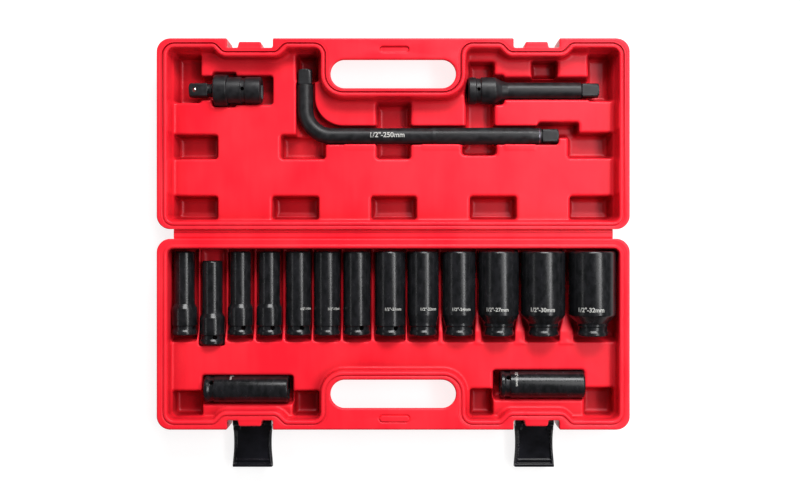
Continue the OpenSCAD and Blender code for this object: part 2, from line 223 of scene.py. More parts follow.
def pale_mark():
    """The pale, slightly speckled grey of a size marked by laser."""
    look = Look("pale_mark", (0.42, 0.42, 0.40), 0.6)
    speckle = look.noise(0.3, 2)
    look.set({"Base Color": look.colors(speckle, (0.28, 0.28, 0.27), (0.55, 0.55, 0.52))})
    look.bump(speckle, 0.01)
    return look.material


RED = red_plastic()
STEEL_BLACK = black_steel()
STEEL_MATTE = matte_steel()
STEEL_GLOSSY = glossy_steel()
PLASTIC_BLACK = black_plastic()
STEEL_PLAIN = bare_steel("plain_steel", (0.45, 0.45, 0.46), 0.34, 0.01)
STEEL_BRIGHT = bare_steel("bright_steel", (0.85, 0.84, 0.80), 0.12, 0.003)
MARK = pale_mark()


# ---- Pieces ----

def mesh_from(name, points, faces):
    """A mesh with its faces turned outwards."""
    mesh = bpy.data.meshes.new(name)
    mesh.from_pydata(points.tolist(), [], faces)
    bm = bmesh.new()
    bm.from_mesh(mesh)
    bmesh.ops.recalc_face_normals(bm, faces=bm.faces)
    bm.to_mesh(mesh)
    bm.free()
    return mesh


def mesh_of(name, points, faces):
    """A mesh from points in millimetres around the hinge."""
    return mesh_from(name, place(points), faces)


def smooth(mesh, sharp_from=38):
    """Smooth shading that keeps edges sharper than that angle, in degrees."""
    mesh.polygons.foreach_set("use_smooth", [True]*len(mesh.polygons))
    mesh.set_sharp_from_angle(angle=math.radians(sharp_from))
    return mesh


def add(name, data):
    """A new object in the scene."""
    obj = bpy.data.objects.new(name, data)
    bpy.context.scene.collection.objects.link(obj)
    return obj


def finished(obj, *helpers):
    """The mesh of an object with its modifiers applied or its text made out. The objects go."""
    mesh = bpy.data.meshes.new_from_object(obj.evaluated_get(bpy.context.evaluated_depsgraph_get()))
    for done in (obj, *helpers):
        bpy.data.objects.remove(done)
    return mesh


def piece(mesh, material, body, slot, *nodes):
    """Puts a mesh in the scene as a piece that rides on a body and stands for some CAD nodes."""
    obj = add(mesh.name, mesh)
    mesh.materials.clear()
    mesh.materials.append(material)
    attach(obj, body)
    if nodes:
        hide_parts(*nodes)


# ---- Outlines ----

def moved(corners, e):
    """An anticlockwise outline of [x, y, radius] corners with each edge moved inwards by e."""
    places = np.array(corners, float)[:, :2]
    along = np.roll(places, -1, axis=0) - places
    along /= np.linalg.norm(along, axis=1)[:, None]
    left = np.stack([-along[:, 1], along[:, 0]], axis=1)
    before, before_left = np.roll(along, 1, axis=0), np.roll(left, 1, axis=0)
    turn = before[:, 0]*along[:, 1] - before[:, 1]*along[:, 0]
    spots = places + e*(before_left + left)/(1 + (before_left*left).sum(axis=1))[:, None]
    radii = np.array(corners, float)[:, 2]
    radii = np.where(turn > 0, np.maximum(radii - e, 0.5), radii + e)
    return np.column_stack([spots, radii])


def rounded(corners, steps=7, closed=True):
    """The points of an outline, with an arc at each corner."""
    corners = np.array(corners, float)
    points = []
    count = len(corners)
    for i, (x, y, r) in enumerate(corners):
        q = np.array([x, y])
        if not closed and i in (0, count - 1) or r == 0:
            points.append(q)
            continue
        before = q - corners[i - 1][:2]
        after = corners[(i + 1) % count][:2] - q
        before /= np.linalg.norm(before)
        after /= np.linalg.norm(after)
        cross = before[0]*after[1] - before[1]*after[0]
        turn = math.atan2(abs(cross), float(before @ after))
        side = np.sign(cross)*np.array([-before[1], before[0]])
        reach = r*math.tan(turn/2)
        for k in range(steps + 1):
            a = turn*k/steps
            points.append(q - before*reach + r*math.sin(a)*before + r*(1 - math.cos(a))*side)
    return np.array(points)


GROOVE_X, GROOVE_Y = 217, 179.5
BASE_BACK_Y, LID_BACK_Y = 9.5, 7.5
BUMP_Y, GRIP_X, GRIP_Y = 171.3, 64, 133.5


def groove_line(back_y):
    """The line of the rim's groove on the lid's side, as [x, y, radius]; the base mirrors it."""
    right_half = [[GROOVE_X, back_y, 10], [GROOVE_X, GROOVE_Y, 11], [168, GROOVE_Y, 7], [160, BUMP_Y, 7],
                  [110, BUMP_Y, 7], [102, GROOVE_Y, 7], [GRIP_X, GROOVE_Y, 11], [GRIP_X, GRIP_Y, 17]]
    return right_half + [[-x, y, r] for x, y, r in reversed(right_half)]


CASE_LOW, CASE_HIGH = node_box("lid_shell")
HALF_W = CASE_HIGH[0]
BACK_FACE, FRONT_FACE = CASE_LOW[1], CASE_HIGH[1]
RIM = CASE_HIGH[2]
FLANGE = RIM - 0.7
PLATEAU, FLOOR, BAR_FLOOR = 20, 3, 7
LATCH_X, NOTCH_HALF, NOTCH_Y = 135, 21.5, FRONT_FACE - 9
TAB_HALF, TAB_Y = 11.5, FRONT_FACE - 3.5
HANDLE_HALF, HANDLE_W, HANDLE_Y = 58.5, 25.5, FRONT_FACE - 33.75
HANDLE_FLARE = 0.2
CAVITY_INSET = 4.4
TRENCH_LINE, TRENCH_HALF, TRENCH_FLOOR = 0.45, 2.45, 30.5
RIB, RIB_CORNER = [-12.6, 171.1, 15, 176.7], 2.7
# Bumps on the walls of the lid's pockets that grip the tools
PINCHES = [[-47, 80, -16.5, 86], [27, 80, 64, 86], [106, 80, 136, 86]]
# A latch's pegs, its length from them, its angle at rest, and how far its lip is behind its tip
PEG_Y, PEG_Z = FRONT_FACE - 4.5, 16
LATCH_LEN, LATCH_OPEN = 43, math.radians(90)
LIP_BACK = 6.3
# Spacing of the grid that the halves are shaped on, and the most faces each may have
GRID_STEP = 0.85
MOST_FACES = 185000


# ---- Signed distances: negative is inside ----

def round_max(a, b, r):
    """Where both solids are, with the edge between them rounded."""
    return np.minimum(-r, np.maximum(a, b)) + np.hypot(np.maximum(r + a, 0), np.maximum(r + b, 0))


def round_min(a, b, r):
    """Where either solid is, with the corner between them filled to a radius."""
    return -round_max(-a, -b, r)


def rectangle(x, y, box, corner):
    x0, y0, x1, y1 = box
    dx = np.abs(x - (x0 + x1)/2) - (x1 - x0)/2 + corner
    dy = np.abs(y - (y0 + y1)/2) - (y1 - y0)/2 + corner
    return np.minimum(np.maximum(dx, dy), 0) + np.hypot(np.maximum(dx, 0), np.maximum(dy, 0)) - corner


def outline_distance(x, y, points):
    """Distance to a closed outline."""
    nearest = np.full(np.broadcast(x, y).shape, np.inf)
    inside = np.zeros(nearest.shape, bool)
    for (ax, ay), (bx, by) in zip(points, np.roll(points, -1, axis=0)):
        ex, ey = bx - ax, by - ay
        wx, wy = x - ax, y - ay
        t = np.clip((wx*ex + wy*ey)/(ex*ex + ey*ey), 0, 1)
        nearest = np.minimum(nearest, (wx - t*ex)**2 + (wy - t*ey)**2)
        if ey:
            inside ^= ((ay > y) != (by > y)) & (wx < ex*wy/ey)
    return np.where(inside, -1, 1)*np.sqrt(nearest)


class Solid:
    """A solid's distances on a grid of points, which other solids are joined to or cut from."""

    def __init__(self, low, high, step):
        self.step = step
        self.low = np.array(low, float)
        counts = np.ceil((np.array(high) - self.low)/step).astype(int) + 1
        self.x, self.y, self.z = (self.low[i] + step*np.arange(counts[i]) for i in range(3))
        self.value = np.full(counts, 1e3, np.float32)

    def near(self, box, margin=7):
        """The slices of the grid around a rectangle, and their points."""
        x0, y0, x1, y1 = box
        i = slice(*np.searchsorted(self.x, [x0 - margin, x1 + margin]))
        j = slice(*np.searchsorted(self.y, [y0 - margin, y1 + margin]))
        return (i, j), (self.x[i][:, None, None], self.y[j][None, :, None], self.z[None, None, :])

    def everywhere(self):
        return self.x[:, None, None], self.y[None, :, None], self.z[None, None, :]

    def cut(self, box, shape, edge):
        part, points = self.near(box)
        self.value[part] = round_max(self.value[part], -shape(*points), edge)

    def join(self, box, shape, fillet):
        part, points = self.near(box)
        self.value[part] = round_min(self.value[part], shape(*points), fillet)

    def surface(self):
        """Points and quads of the surface, by surface nets, with the outward direction at each point."""
        value = self.value
        low_corner = value[:-1, :-1, :-1] < 0
        mixed = np.zeros(low_corner.shape, bool)
        corners = list(product((0, 1), repeat=3))
        shape = low_corner.shape
        for a, b, c in corners[1:]:
            mixed |= (value[a:a + shape[0], b:b + shape[1], c:c + shape[2]] < 0) != low_corner
        cells = np.argwhere(mixed)
        index = np.full(shape, -1, np.int32)
        index[mixed] = np.arange(len(cells))
        at = {k: value[cells[:, 0] + k[0], cells[:, 1] + k[1], cells[:, 2] + k[2]] for k in corners}
        total = np.zeros((len(cells), 3))
        count = np.zeros(len(cells))
        for p in corners:
            for axis in range(3):
                if p[axis]:
                    continue
                q = tuple(1 if i == axis else p[i] for i in range(3))
                crosses = (at[p] < 0) != (at[q] < 0)
                t = at[p][crosses]/(at[p][crosses] - at[q][crosses])
                spot = np.tile(np.array(p, float), (crosses.sum(), 1))
                spot[:, axis] = t
                total[crosses] += spot
                count[crosses] += 1
        inner = total/count[:, None]
        points = self.low + self.step*(cells + inner)
        quads = []
        for axis in range(3):
            u, v = (axis + 1) % 3, (axis + 2) % 3
            ahead = [slice(None)]*3
            ahead[axis] = slice(1, None)
            here = [slice(None)]*3
            here[axis] = slice(None, -1)
            solid_here = value[tuple(here)] < 0
            edges = np.argwhere(solid_here != (value[tuple(ahead)] < 0))
            at_u, at_v = edges[:, u], edges[:, v]
            edges = edges[(at_u > 0) & (at_v > 0) & (at_u < shape[u]) & (at_v < shape[v])]
            ring = []
            for du, dv in ((1, 1), (0, 1), (0, 0), (1, 0)):
                cell = edges.copy()
                cell[:, u] -= du
                cell[:, v] -= dv
                ring.append(index[tuple(cell.T)])
            ring = np.stack(ring, axis=1)
            flip = ~solid_here[tuple(edges.T)]
            ring[flip] = ring[flip][:, ::-1]
            quads.append(ring)
        return points, np.concatenate(quads)

    def directions(self, points):
        """The outward unit direction at some points."""
        slopes = [g.astype(np.float32) for g in np.gradient(self.value, self.step)]
        spot = (points - self.low)/self.step
        cell = np.clip(np.floor(spot).astype(int), 0, np.array(self.value.shape) - 2)
        t = spot - cell
        result = np.zeros((len(points), 3))
        for corner in product((0, 1), repeat=3):
            weight = np.abs(1 - np.array(corner) - t).prod(axis=1)
            at = tuple((cell + corner).T)
            for axis in range(3):
                result[:, axis] += weight*slopes[axis][at]
        return result/np.maximum(np.linalg.norm(result, axis=1), 1e-9)[:, None]

    def mesh(self, name, most_faces, transform=None):
        """The surface as a mesh, thinned where it is flat and shaded along the solid's own directions."""
        points, quads = self.surface()
        raw = bpy.data.meshes.new(name + "_raw")
        raw.from_pydata(points.tolist(), [], quads.tolist())
        if 2*len(quads) > most_faces:
            holder = add(name + "_raw", raw)
            thin = holder.modifiers.new("thin", "DECIMATE")
            thin.ratio = most_faces/(2*len(quads))
            done = finished(holder)
            bpy.data.meshes.remove(raw)
            raw = done
        raw.name = name
        places = np.zeros(3*len(raw.vertices))
        raw.vertices.foreach_get("co", places)
        places = places.reshape(-1, 3)
        normals = self.directions(places)
        matrix = np.eye(4) if transform is None else np.array(transform)
        places = places @ matrix[:3, :3].T + matrix[:3, 3]
        normals = normals @ matrix[:3, :3].T
        raw.vertices.foreach_set("co", place(places).ravel())
        if np.linalg.det(matrix[:3, :3]) < 0:
            raw.flip_normals()
        raw.polygons.foreach_set("use_smooth", [True]*len(raw.polygons))
        raw.update()
        raw.normals_split_custom_set_from_vertices(normals.tolist())
        return raw


# ---- Case halves ----

class Pocket:
    """A group of joined rectangles that share a floor.

    One that is walled ends at the case's wall, or wall_gap before it. A front_corner rounds the front,
    which then leans by ramp. A core is a block left standing inside.
    """

    def __init__(self, boxes, floor=FLOOR, draft=0.13, corner=3, fillet=4, edge=2.3, walled=True,
                 front_corner=0, ramp=0, core=None, core_corner=0, wall_gap=0):
        self.boxes, self.floor, self.draft, self.corner = boxes, floor, draft, corner
        self.fillet, self.edge, self.walled, self.wall_gap = fillet, edge, walled, wall_gap
        self.front_corner, self.ramp, self.core, self.core_corner = front_corner, ramp, core, core_corner

    def bounds(self):
        lows, highs = np.array(self.boxes)[:, :2], np.array(self.boxes)[:, 2:]
        return [*lows.min(axis=0), *highs.max(axis=0)]

    def shape(self, wall):
        def distance(x, y, z):
            sides = [rectangle(x, y, box, self.corner) for box in self.boxes]
            side = reduce(lambda a, b: round_min(a, b, 1.5), sides) + self.draft*(PLATEAU - z)
            if self.front_corner:
                x0, y0, x1, y1 = self.boxes[0]
                side = np.maximum(side, rectangle(x, y, [x0, y0 - 40, x1, y1], self.front_corner))
                side = round_max(side, (y - y1 + self.ramp*(PLATEAU - z))*0.85, 1)
            if self.core:
                side = round_max(side, -rectangle(x, y, self.core, self.core_corner), 1.5)
            if self.walled:
                side = round_max(side, wall(x, y, z) + self.wall_gap, 2.0)
            return round_max(side, self.floor - z, self.fillet)
        return distance


def handle_distance(x, y):
    """Distance to the outline of the handle hole."""
    reach = HANDLE_HALF - HANDLE_W/2
    return np.hypot(np.maximum(np.abs(x) - reach, 0), y - HANDLE_Y) - HANDLE_W/2


def tab_shape(low):
    """The tab in a latch recess, narrower at its front."""
    def distance(x, y, z):
        side = np.abs(np.abs(x) - LATCH_X) - TAB_HALF + 0.22*(y - NOTCH_Y)
        body = round_max(side, y - TAB_Y, 1.0)
        body = round_max(body, NOTCH_Y - 2 - y, 0.2)
        return round_max(body, np.abs(z - (low + FLANGE)/2) - (FLANGE - low)/2, 0.8)
    return distance


def half_solid(step, draft, back_y, pockets, tab_low, extra):
    """One half of the case on the lid's side."""
    solid = Solid((-HALF_W - 2, BACK_FACE - 2, -2), (HALF_W + 2, FRONT_FACE + 2, RIM + 2), step)
    x, y, z = solid.everywhere()
    flat_x, flat_y = x[:, :, 0], y[:, :, 0]
    groove_flat = outline_distance(flat_x, flat_y, rounded(groove_line(back_y)))
    bump_flat = np.clip(1 - rectangle(np.abs(flat_x), flat_y, [108, 150, 162, 186], 5)/10, 0, 1)
    back_flat = np.clip((back_y + 12 - flat_y)/6, 0, 1)*np.clip((GROOVE_X - 8 - np.abs(flat_x))/6, 0, 1)
    draft_flat = draft + (0.03 - draft)*np.maximum(bump_flat, back_flat)

    def wall(x, y, z):
        """Distance from the wall of the big hollow, which leans outwards."""
        i = np.searchsorted(solid.x, x.ravel())
        j = np.searchsorted(solid.y, y.ravel())
        part = np.ix_(i, j)
        return groove_flat[part][:, :, None] + CAVITY_INSET + draft_flat[part][:, :, None]*(FLANGE - z)

    outer = rectangle(x, y, [-HALF_W, BACK_FACE, HALF_W, FRONT_FACE], 13) + 0.03*(RIM - z)
    edge = 0.3 + 1.1*np.clip((y - BACK_FACE)/4, 0, 1)
    solid.value[:] = round_max(round_max(outer, -z, 5), z - FLANGE, edge)
    groove = groove_flat[:, :, None]
    trench = np.maximum(np.abs(groove + TRENCH_LINE) - TRENCH_HALF, TRENCH_FLOOR - z)
    solid.value = np.maximum(solid.value, -trench)
    cavity = round_max(wall(x, y, z), PLATEAU - z, 3)
    solid.value = round_max(solid.value, -cavity, 1.2)
    for pocket in pockets:
        solid.cut(pocket.bounds(), pocket.shape(wall), pocket.edge)
    handle_box = [-HANDLE_HALF - 3, HANDLE_Y - HANDLE_W/2 - 3, HANDLE_HALF + 3, HANDLE_Y + HANDLE_W/2 + 3]
    solid.cut(handle_box, lambda x, y, z: handle_distance(x, y) - HANDLE_FLARE*(FLANGE - z), 2.6)
    for side in (-1, 1):
        notch = [side*LATCH_X - NOTCH_HALF, NOTCH_Y, side*LATCH_X + NOTCH_HALF, FRONT_FACE + 30]
        solid.cut(notch, lambda x, y, z, box=notch: rectangle(x, y, box, 1.5), 0.9)
        tab = [side*LATCH_X - TAB_HALF, NOTCH_Y, side*LATCH_X + TAB_HALF, TAB_Y]
        solid.join(tab, tab_shape(tab_low), 0.8)
    extra(solid)
    return solid


# Diameters of the sockets' bodies and drive ends, by size: the row from left to right, and the two in front
ROW = {10: (19.3, 24.2), 11: (19.5, 24.2), 12: (20, 24), 13: (20.6, 24.2), 14: (24.2, 24.2),
       15: (25.2, 25.2), 16: (26, 26), 21: (29, 29), 22: (29.6, 27), 24: (32, 28),
       27: (38.4, 29), 30: (41.8, 30), 32: (44.4, 30)}
FRONT = {17: (25.8, 25.8), 18: (26.2, 26.2)}
ROW_END = 212.9
SLOT_Y = [13.9, 103.5]
LOW_SLOT_FRONT = 107
WALL_LOW, WALL_RISE = 11, 80
WEDGE_Y = (75, 93)


def row_slots():
    """One slot for each socket of the row; the walls between them stand in the middle of each gap."""
    boxes = [node_box(f"socket_{size}") for size in ROW]
    edges = [-ROW_END]
    for (_, this_high), (next_low, _) in zip(boxes, boxes[1:]):
        middle = (this_high[0] + next_low[0])/2
        thickness = min(4, next_low[0] - this_high[0] - 0.6)
        edges += [middle - thickness/2, middle + thickness/2]
    edges.append(ROW_END)
    slots = []
    for size, low, high in zip(ROW, edges[::2], edges[1::2]):
        front, corner, ramp = (LOW_SLOT_FRONT, 2, 0.05) if size == 11 else (SLOT_Y[1], 3.5, 0.35)
        slots.append(Pocket([[low, SLOT_Y[0], high, front]], draft=0.01, corner=1.5, fillet=6, edge=1.1,
                            walled=False, front_corner=corner, ramp=ramp))
    return slots


BASE_POCKETS = row_slots() + [
    Pocket([[-ROW_END, 149.5, -182, 178], [-183, 134.5, -95.5, 163], [-96, 149.5, -70, 176]], wall_gap=1),
    Pocket([[73, 147.5, 95.5, 175], [95, 129.5, 182.5, 158.5], [182, 146.5, ROW_END, 178]], wall_gap=1),
]
LOWER_ROW_X = [(-214, -167.5), (-116, -71), (-21.5, 22.5), (73, 118), (168.5, 214)]
LID_POCKETS = [Pocket([[left, 13.5, right, 36.5]]) for left, right in LOWER_ROW_X] + [
    Pocket([[-214, 71.5, -167.5, 95]]),
    Pocket([[-108, 71.5, -64.5, 95]]),
    Pocket([[-93, 85.5, 158, 146]], floor=BAR_FLOOR, draft=0.03, fillet=5, edge=1.5,
           core=[-75, 103.5, 300, 300], core_corner=27),
    Pocket([[-93, 145.5, -69, 173]]),
    Pocket([[-16.5, 71.5, 17, 128]]),
    Pocket([[65.5, 75.5, 99, 85.5], [69, 75.5, 97, 165]]),
    Pocket([[167, 72.5, 214, 97], [138, 92, 177.5, 107]]),
    Pocket([[-214, 125.5, -183.5, 178], [-186, 128.5, -168, 151], [-173, 121.5, -150, 155],
            [-151, 123.5, -115, 151.5]], draft=0.04, fillet=3),
    Pocket([[69, 123.5, 106, 152.5], [100, 128.4, 188, 150], [132, 149, 157, 166.5], [186, 127, 214, 178]]),
]


def low_walls(x, y, z):
    """The space above the row's walls, which are low at the back and rise to the front."""
    forward = np.clip((y - WALL_RISE)/(SLOT_Y[1] - WALL_RISE), 0, 1)
    top = WALL_LOW + (PLATEAU + 2 - WALL_LOW)*forward**2
    return np.maximum(np.maximum(top - z, np.abs(x) - 212), np.maximum(SLOT_Y[0] - y, y - SLOT_Y[1]))


def wedge(left, right):
    """The wall between two sockets' drive ends, which widens and rises to the front; and its box."""
    ends = []
    for size, side in ((left, 1), (right, -1)):
        low, high = node_box(f"socket_{size}")
        ends.append((low[0] + high[0])/2 + side*(ROW[size][1]/2 + 1.4))
    middle, widest = sum(ends)/2, (ends[1] - ends[0])/2

    def distance(x, y, z):
        forward = np.clip((y - WEDGE_Y[0])/(WEDGE_Y[1] - WEDGE_Y[0]), 0, 1)
        side = np.abs(x - middle) - 0.8 - (widest - 0.8)*forward + 0.06*(z - PLATEAU)
        top = z - WALL_LOW - (PLATEAU - WALL_LOW)*forward
        ends = np.maximum(np.maximum(WEDGE_Y[0] - y, y - SLOT_Y[1] - 1), 3 - z)
        return round_max(round_max(side, top, 1.2), ends, 0.5)
    return distance, [middle - widest, WEDGE_Y[0], middle + widest, SLOT_Y[1]]


def base_extra(solid):
    """The row's low walls and wedges, a line round the rib, and holes for the pegs."""
    solid.cut([-212, SLOT_Y[0], 212, SLOT_Y[1]], low_walls, 1.4)
    solid.cut(RIB, lambda x, y, z: np.maximum(rectangle(x, y, RIB, RIB_CORNER) - 0.9, FLANGE - 0.8 - z), 0.3)
    for left, right in ((22, 24), (24, 27), (27, 30), (30, 32)):
        shape, box = wedge(left, right)
        solid.join(box, shape, 2)
    for side in (-1, 1):
        box = [side*LATCH_X - TAB_HALF - 1, TAB_Y - 5, side*LATCH_X + TAB_HALF + 1, TAB_Y]
        solid.cut(box, lambda x, y, z: np.maximum(np.hypot(y - PEG_Y, z - PEG_Z) - 2.3,
                                                  8.2 - np.abs(np.abs(x) - LATCH_X)), 0.3)


def lid_extra(solid):
    """The recess for the base's rib, grooves for the latches' lips, and the pinches."""
    lip = 2*RIM - PEG_Z - LATCH_LEN + LIP_BACK
    for side in (-1, 1):
        box = [side*LATCH_X - TAB_HALF, TAB_Y - 2, side*LATCH_X + TAB_HALF, TAB_Y]
        solid.cut(box, lambda x, y, z: np.maximum(np.abs(z - lip) - 1.6, TAB_Y - 1.5 - y), 0.3)
    solid.cut(RIB, lambda x, y, z: np.maximum(rectangle(x, y, RIB, RIB_CORNER), FLANGE - 1.6 - z), 0.5)
    for box in PINCHES:
        solid.join(box, lambda x, y, z, box=box: round_max(
            rectangle(x, y, box, 1.2), np.maximum(z - PLATEAU, 1 - z), 1.3), 0.8)


def level(corners, steps, z):
    """A rounded outline as points at one height."""
    flat = rounded(corners, steps)
    return np.column_stack([flat, np.full(len(flat), z)])


def rim_band(name, body, side, depth, back_y):
    """The groove and raised bead of the rim, one closed band swept along the groove's line."""
    profile = [(-2.5, FLANGE + 0.04), (-0.95, FLANGE + 0.04), (-0.6, FLANGE - 0.6*depth),
               (-0.3, FLANGE - depth), (0.15, FLANGE - depth), (0.45, FLANGE - 0.5*depth),
               (0.75, FLANGE + 0.25), (1.2, RIM - 0.08), (1.7, RIM), (2.6, RIM), (3.2, RIM - 0.15),
               (3.7, RIM - 0.6), (4.1, 32.6), (4.35, 31.4), (4.5, 29.5), (-2.5, 29.5)]
    rings = [level(moved(groove_line(back_y), s), 9, z) for s, z in profile]
    count = len(rings[0])
    points, faces = skin(rings, closed=True)
    shallow = np.clip((points[:, 1] - back_y - 4)/20, 0.25, 1)
    in_groove = np.repeat([s < 1 and z > FLANGE - 2 for s, z in profile], count)
    points[:, 2] = np.where(in_groove, FLANGE + (points[:, 2] - FLANGE)*shallow, points[:, 2])
    points[:, 1] *= side
    piece(smooth(mesh_of(name, points, faces), 50), RED, body, "red_plastic")


def case_halves():
    mirror = np.diag([1.0, -1.0, 1.0, 1.0])
    base = half_solid(GRID_STEP, 0.05, BASE_BACK_Y, BASE_POCKETS, 5, base_extra)
    piece(base.mesh("base_half", MOST_FACES, mirror), RED, "case_base", "red_plastic", "base_shell")
    lid = half_solid(GRID_STEP, 0.2, LID_BACK_Y, LID_POCKETS, 12.6, lid_extra)
    piece(lid.mesh("lid_half", MOST_FACES), RED, "case_lid", "red_plastic", "lid_shell")
    rim_band("base_rim", "case_base", -1, 0.4, BASE_BACK_Y)
    rim_band("lid_rim", "case_lid", 1, 1.1, LID_BACK_Y)
    rib()


def rib():
    """The raised rib on the base's handle bar."""
    x0, y0, x1, y1 = RIB
    corners = [[x, y, RIB_CORNER] for x, y in ((x0, y0), (x1, y0), (x1, y1), (x0, y1))]
    levels = [(0.1, FLANGE - 1), (0.1, FLANGE), (0.2, RIM - 0.3), (0.45, RIM - 0.08), (0.9, RIM), (2.2, RIM)]
    points, faces = skin([level(moved(corners, s), 8, z)*[1, -1, 1] for s, z in levels])
    piece(smooth(mesh_of("base_locating_rib", points, faces)), RED, "case_base", "red_plastic")


# ---- Skins over rings of points ----

def skin(rings, closed=False):
    """Points and faces over rings with equal counts, capped at both ends, or closed into a loop."""
    count = len(rings[0])
    total = len(rings)
    faces = []
    for i in range(total if closed else total - 1):
        j = (i + 1) % total
        faces += [[i*count + k, i*count + (k + 1) % count, j*count + (k + 1) % count, j*count + k]
                  for k in range(count)]
    if not closed:
        faces += [list(range(count))[::-1], [(total - 1)*count + k for k in range(count)]]
    return np.concatenate(rings), faces


SIDES = 96


def around(sides=SIDES):
    return np.arange(sides)*2*math.pi/sides


def flats(count, across):
    """Distance from the axis to a regular polygon's sides, in each direction of a ring."""
    step = 2*math.pi/count
    turned = around() + (step/2 if count == 4 else 0)
    return across/2/np.cos(turned % step - step/2)


def turned_rings(profile, sides=SIDES):
    """Rings around X from (x, radius); a radius may be a number or one for each direction."""
    angles = around(sides)
    return [np.column_stack([np.full(sides, x), r*np.cos(angles), r*np.sin(angles)]) for x, r in profile]


def soft_profile(corners, steps=4):
    """A profile of (x, radius) with its corners rounded; a corner is [x, radius, rounding]."""
    return [tuple(p) for p in rounded(corners, steps, closed=False)]


# Half of the 1/2 inch square drive, the groove round a drive end, and how deep the two bores go
HALF_SQ = 6.35
GROOVE_AT = (5.5, 9.5)
HEX_DEPTH, SQUARE_DEPTH = 24, 16.5
CROSS_HOLE_R = 1.75


def female_square():
    """Distance from the axis to the walls of a drive bore, whose corners are turned off."""
    return np.minimum(flats(4, 2*HALF_SQ + 0.3), 8.9)


def socket_profile(size, body_d, drive_d, length):
    """A socket's closed profile: outside from the drive end to the mouth, then back inside."""
    b, d = body_d/2, drive_d/2
    neck = 30 if d > b else 20
    taper = 1.9*(d - b) if d > b else 8
    outside = [[0, d - 1.3, 0], [0.35, d - 0.6, 0.5], [1.3, d, 0.8], [GROOVE_AT[0] - 1.9, d, 0.4],
               [GROOVE_AT[0], d - 1, 0.5], [GROOVE_AT[1] - 0.5, d - 1, 0.5], [GROOVE_AT[1], d, 0.4]]
    if d != b:
        outside += [[neck - taper, d, 2.5], [neck, b, 2.5 if d < b else 1.2]]
    outside += [[length - 1.5, b, 0.8], [length - 0.4, b - 0.6, 0.4], [length, b - 1.2, 0]]
    square = female_square()
    hexagon = flats(6, size + 0.2)
    bore = min(size/2 - 0.4, d - 3)
    mouth = [(length, hexagon + 0.7), (length - 0.8, hexagon), (length - HEX_DEPTH, hexagon),
             (length - HEX_DEPTH - 0.6, np.full(SIDES, bore)), (SQUARE_DEPTH + 0.6, np.full(SIDES, bore)),
             (SQUARE_DEPTH, square), (0.9, square), (0, square + 0.7)]
    return [*soft_profile(outside), *mouth]


def cut_hole(mesh, x, radius):
    """Cuts a round hole upright through a mesh at x, in the mesh's own millimetres."""
    cutter = bpy.data.meshes.new("cutter")
    bm = bmesh.new()
    bmesh.ops.create_cone(bm, cap_ends=True, segments=24, radius1=radius, radius2=radius, depth=60,
                          matrix=Matrix.Translation((x, 0, 0)))
    bm.to_mesh(cutter)
    bm.free()
    holder, tool = add("cut_body", mesh), add("cut_tool", cutter)
    boolean = holder.modifiers.new("cut", "BOOLEAN")
    boolean.operation = "DIFFERENCE"
    boolean.object = tool
    boolean.solver = "EXACT"
    done = finished(holder, tool)
    bpy.data.meshes.remove(cutter)
    return done


def put(mesh, name, matrix):
    """Moves a mesh from its own millimetres to its place in the row frame."""
    mesh.name = name
    mesh.transform(Matrix.Translation((0, HINGE_Y, 0)) @ Matrix.Scale(MM, 4) @ matrix)
    return smooth(mesh)


def mark(name, words, letter, body, matrix, radius, along, turn=0, reads_along=False):
    """Pale figures laid on a round wall about X. They read around the axis, or along it."""
    text = bpy.data.curves.new(name, "FONT")
    text.body = words
    text.size = letter
    text.offset = 0.018*letter
    text.align_x = text.align_y = "CENTER"
    text.extrude = 0.12
    mesh = finished(add("mark_text", text))
    bm = bmesh.new()
    bm.from_mesh(mesh)
    bmesh.ops.subdivide_edges(bm, edges=[e for e in bm.edges if e.calc_length() > 0.8], cuts=2)
    for v in bm.verts:
        across, up = (-v.co.y, v.co.x) if reads_along else (v.co.x, v.co.y)
        angle = across/radius + math.radians(turn)
        height = radius + (0.04 if v.co.z > 0 else -0.15)
        v.co = (along + up, -height*math.sin(angle), height*math.cos(angle))
    bm.to_mesh(mesh)
    bm.free()
    piece(put(mesh, name, matrix), MARK, body, "black_steel")


# How far each socket's size mark and its cross hole lie turned from the top, in degrees
MARK_TURNS = {10: -62, 11: 128, 12: 74, 13: 156, 14: 48, 15: 40, 16: -118, 17: -84, 18: -34, 21: 13,
              22: 21, 24: 6, 27: -10, 30: -10, 32: -14}
HOLE_TURNS = {**dict.fromkeys(MARK_TURNS, 66), **dict.fromkeys((11, 12, 13, 14, 16, 21), 24),
              17: -38, 18: -38}


def sockets():
    for size, (body_d, drive_d) in {**ROW, **FRONT}.items():
        node = f"socket_{size}"
        low, high = node_box(node)
        middle = (low + high)/2
        lies_along_y = size in ROW
        length = high[1] - low[1] if lies_along_y else high[0] - low[0]
        profile = socket_profile(size, body_d, drive_d, length)
        mesh = mesh_from(node, *skin(turned_rings(profile), closed=True))
        mesh = cut_hole(mesh, sum(GROOVE_AT)/2, 2.3)
        mesh.transform(Matrix.Rotation(math.radians(HOLE_TURNS[size]), 4, "X"))
        if lies_along_y:
            matrix = Matrix.Translation((middle[0], low[1], middle[2])) @ Matrix.Rotation(math.pi/2, 4, "Z")
        else:
            matrix = Matrix.Translation((low[0], middle[1], middle[2]))
        piece(put(mesh, f"{node}_piece", matrix), STEEL_BLACK, node, "black_steel", node)
        mark(f"size_mark_{size}", f'1/2"-{size}mm', 0.2 + 0.125*body_d, node, matrix, body_d/2,
             15 if size == 18 else 25.5, MARK_TURNS[size])


# ---- Bent handle, extension bar ----

def square_end(low, high):
    """Profile of a male square drive from low to high: corners turned off and the end chamfered."""
    square = np.minimum(flats(4, 2*HALF_SQ), 8.3)
    return [(low, square), (high - 2, square), (high - 0.5, np.minimum(square, 7.1)),
            (high, np.minimum(square, 6.3))]


